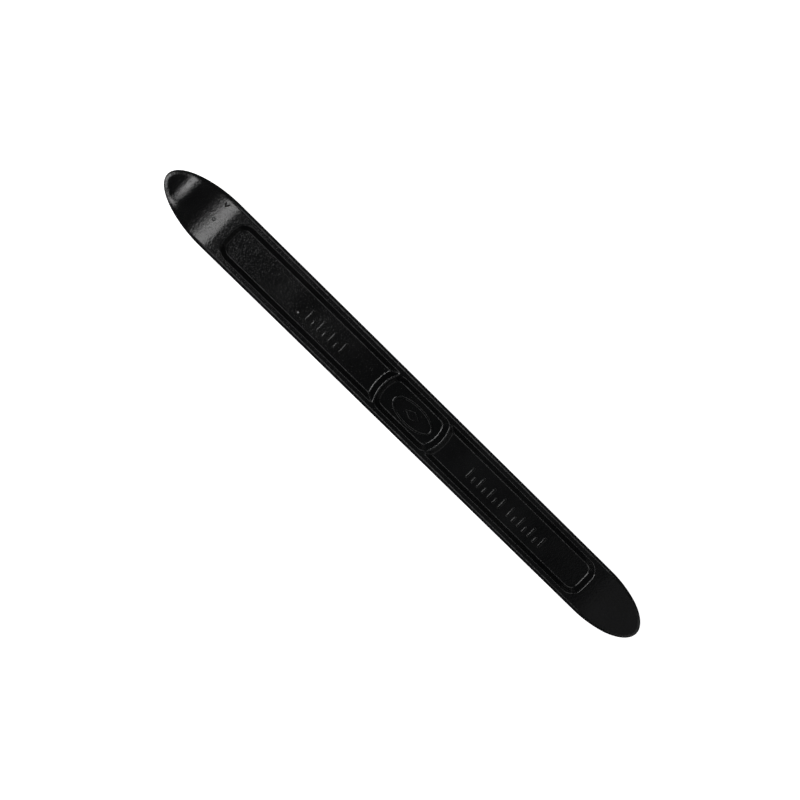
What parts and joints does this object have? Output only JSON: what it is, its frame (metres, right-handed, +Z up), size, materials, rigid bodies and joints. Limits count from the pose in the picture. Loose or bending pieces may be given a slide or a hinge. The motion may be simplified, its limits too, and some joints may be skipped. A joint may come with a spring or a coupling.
{
  "type": "tyre lever",
  "caption": "Double-ended tyre lever: a black-painted steel forging with an I-section shank, a dropped spoon at one end and a thin tongue at the other.",
  "frame": {"origin": "On the ground under the middle of the lever: half-way between the two tips and between the flanks, level with the lowest point of the spoon.", "axes": "X runs along the lever from the dropped spoon (-X) to the thin tongue (+X), Y across it between the flanks, Z up, with the marked panels facing up."},
  "size_m": [0.24, 0.0204, 0.0103],
  "materials": {
    "black_paint": "gloss black paint over a forged steel surface, with a fine orange peel"
  },
  "bodies": {
    "root": {"lever_forging": "black_paint", "left_marks": "black_paint", "right_inner_marks": "black_paint", "right_outer_marks": "black_paint", "centre_emblem": "black_paint"}
  },
  "joints": []
}
